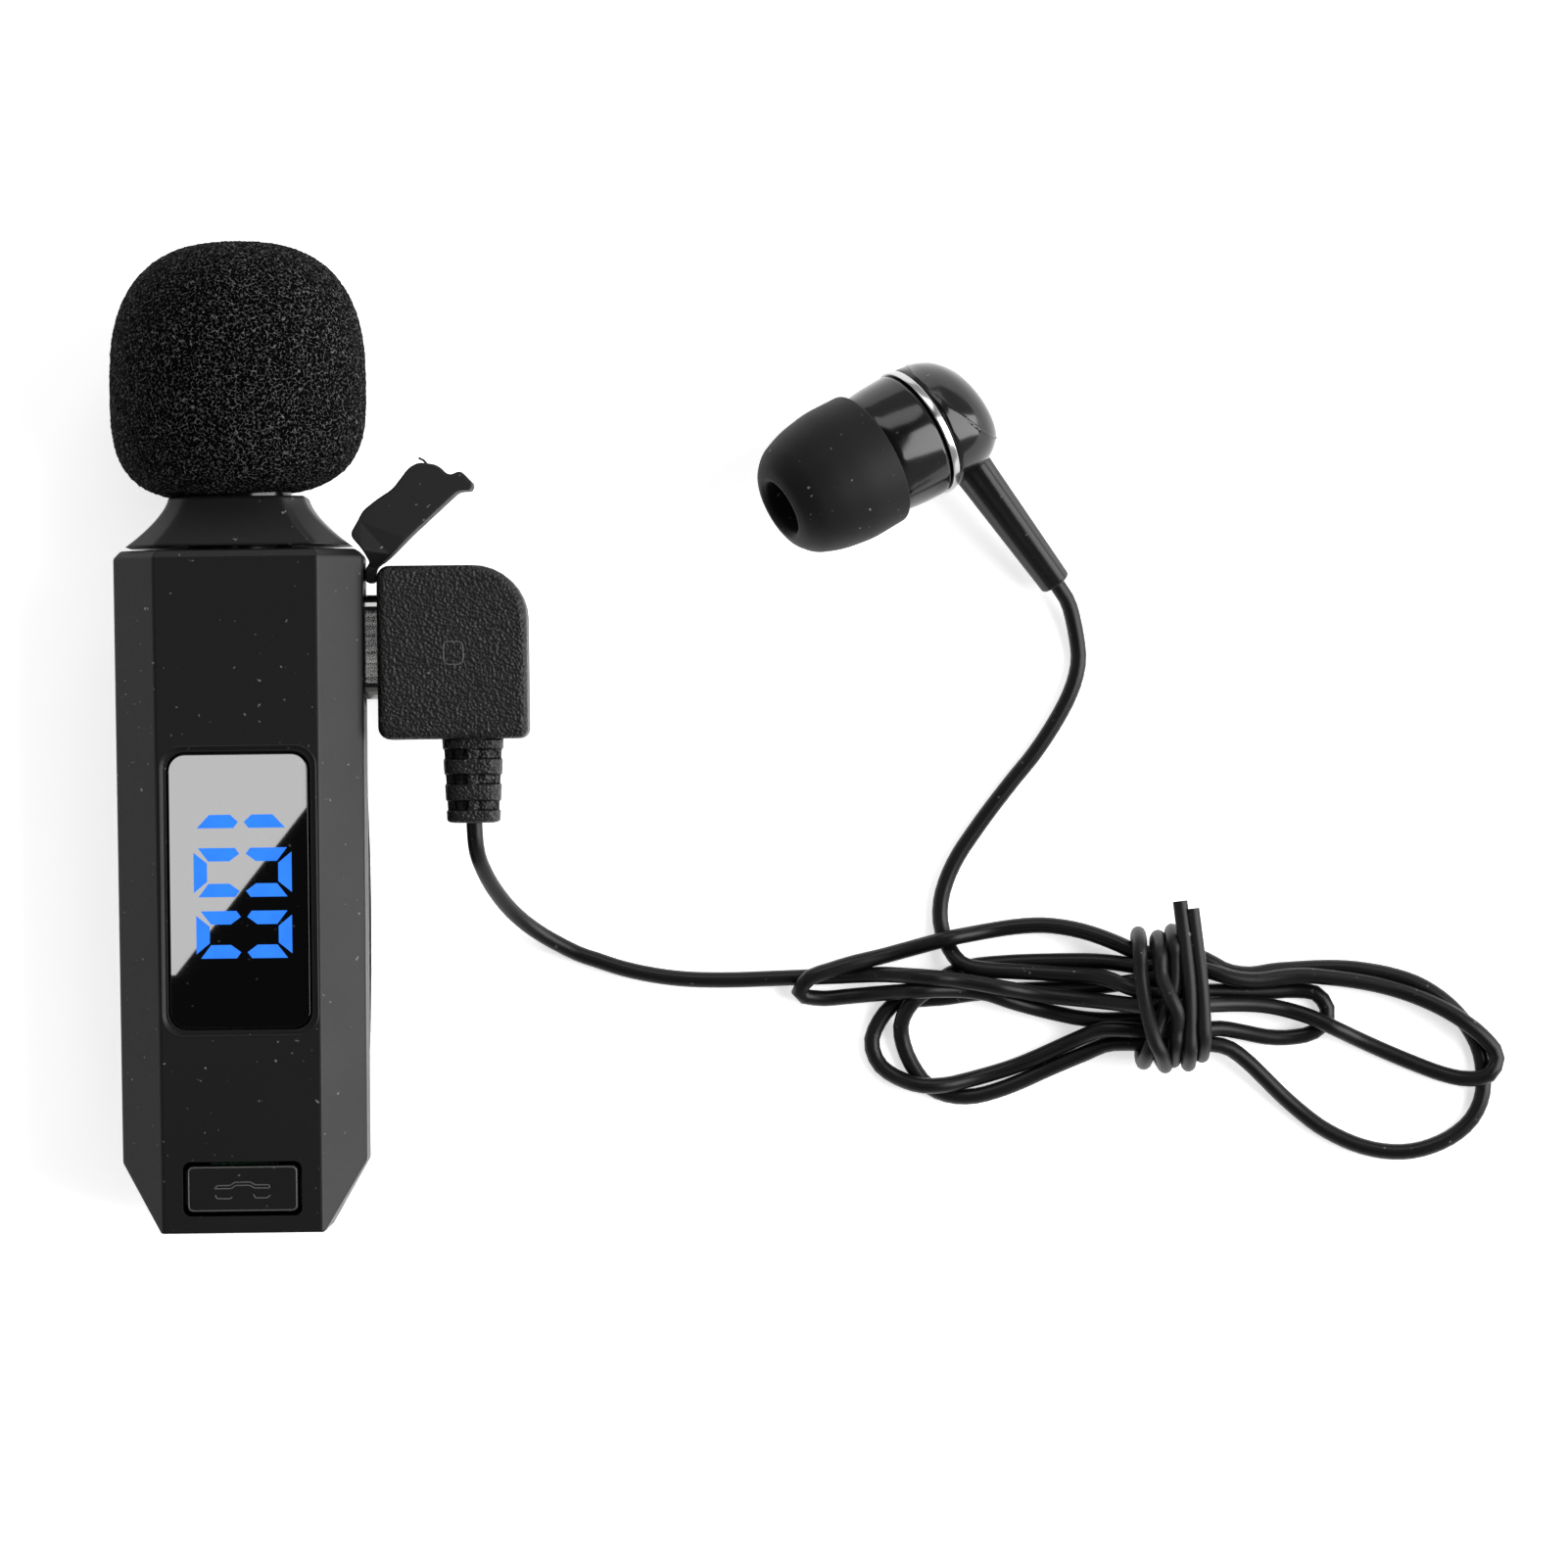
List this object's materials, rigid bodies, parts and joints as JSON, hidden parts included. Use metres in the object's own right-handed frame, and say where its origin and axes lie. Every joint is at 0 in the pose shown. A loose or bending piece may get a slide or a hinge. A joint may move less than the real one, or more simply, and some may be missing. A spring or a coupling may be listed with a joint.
{
  "type": "lavalier microphone",
  "caption": "Clip-on lavalier microphone: foam-covered head, faceted body with display and button, side plug with a tied lead to a monitoring earphone.",
  "frame": {"origin": "on the back clip's flat outer face, at the body's middle; the object lies on that face, Z = 0", "axes": "+Y up the body to the microphone head, +Z out of the display, +X out of the side port"},
  "size_m": [0.1112, 0.0786, 0.0205],
  "materials": {
    "body_plastic": "fine moulded texture",
    "button_plastic": "satin",
    "gloss_black": "polished",
    "steel": "satin",
    "clip_steel": "brushed",
    "plug_steel": "bright nickel plate",
    "ring_metal": "turned, bright",
    "black_rubber": "matte",
    "cover_rubber": "matte",
    "silicone": "satin",
    "tie_rubber": "satin",
    "cord_jacket": "semi-matte",
    "grip_plastic": "leather-like moulded grain",
    "insert_plastic": "plain",
    "foam": "open-cell foam",
    "display_glass": "polished",
    "display_back": "plain",
    "board": "solder mask",
    "ceramic": "plain",
    "cell_metal": "satin"
  },
  "bodies": {
    "mic": {"front_shell": "body_plastic", "rear_shell": "body_plastic", "head_collar": "body_plastic", "mic_head_tube": "gloss_black", "mic_head_grille": "steel", "capsule_boot": "black_rubber", "mic_capsule": "cell_metal", "display_window": "display_glass", "display_module": "display_back", "main_board": "board", "button_switch": "steel", "antenna": "ceramic", "battery": "cell_metal", "usb_receptacle": "steel", "receptacle_tongue": "insert_plastic", "shell_screw_left": "steel", "shell_screw_right": "steel", "clip_bracket": "clip_steel", "clip_pin": "steel", "clip_spring": "steel", "cover_anchor": "black_rubber"},
    "foam": {"foam_windscreen": "foam"},
    "button": {"button": "button_plastic"},
    "clip": {"clip_lever": "clip_steel", "clip_pad": "black_rubber"},
    "dust_cover": {"dust_cover": "cover_rubber"},
    "headset": {"plug_shell": "plug_steel", "plug_contacts": "insert_plastic", "plug_board": "board", "plug_grip": "grip_plastic", "cord_relief": "grip_plastic", "plug_lead": "cord_jacket", "ear_lead": "cord_jacket", "cord_hank": "cord_jacket", "twist_tie": "tie_rubber", "ear_ring": "ring_metal", "ear_front_housing": "gloss_black", "ear_rear_housing": "gloss_black", "ear_driver": "cell_metal", "ear_magnet": "steel", "nozzle_mesh": "steel", "ear_stem": "black_rubber"},
    "ear_tip": {"ear_tip": "silicone"}
  },
  "joints": [
    {"name": "clip_open", "type": "hinge", "parent": "mic", "child": "clip", "pos_m": [0, 0.012, 0.00225], "axis": [1, 0, 0], "range_deg": [0, 15], "stiffness_Nm_per_rad": 0.05, "springref_deg": -34.38},
    {"name": "button_press", "type": "slide", "parent": "mic", "child": "button", "axis": [0, 0, -1], "range_m": [0, 0.0004], "stiffness_N_per_m": 600, "springref_m": -0.0005},
    {"name": "foam_pull", "type": "slide", "parent": "mic", "child": "foam", "axis": [0, 1, 0], "range_m": [0, 0.018]},
    {"name": "dust_cover_swing", "type": "hinge", "parent": "mic", "child": "dust_cover", "pos_m": [0.01042, 0.02519, 0.0104], "axis": [0, 0, 1], "range_deg": [-12, 8]},
    {"name": "plug_pull", "type": "slide", "parent": "mic", "child": "headset", "axis": [1, 0, 0], "range_m": [0, 0.0065]},
    {"name": "ear_tip_pull", "type": "slide", "parent": "headset", "child": "ear_tip", "axis": [-0.8219, -0.4556, 0.342], "range_m": [0, 0.008]}
  ]
}
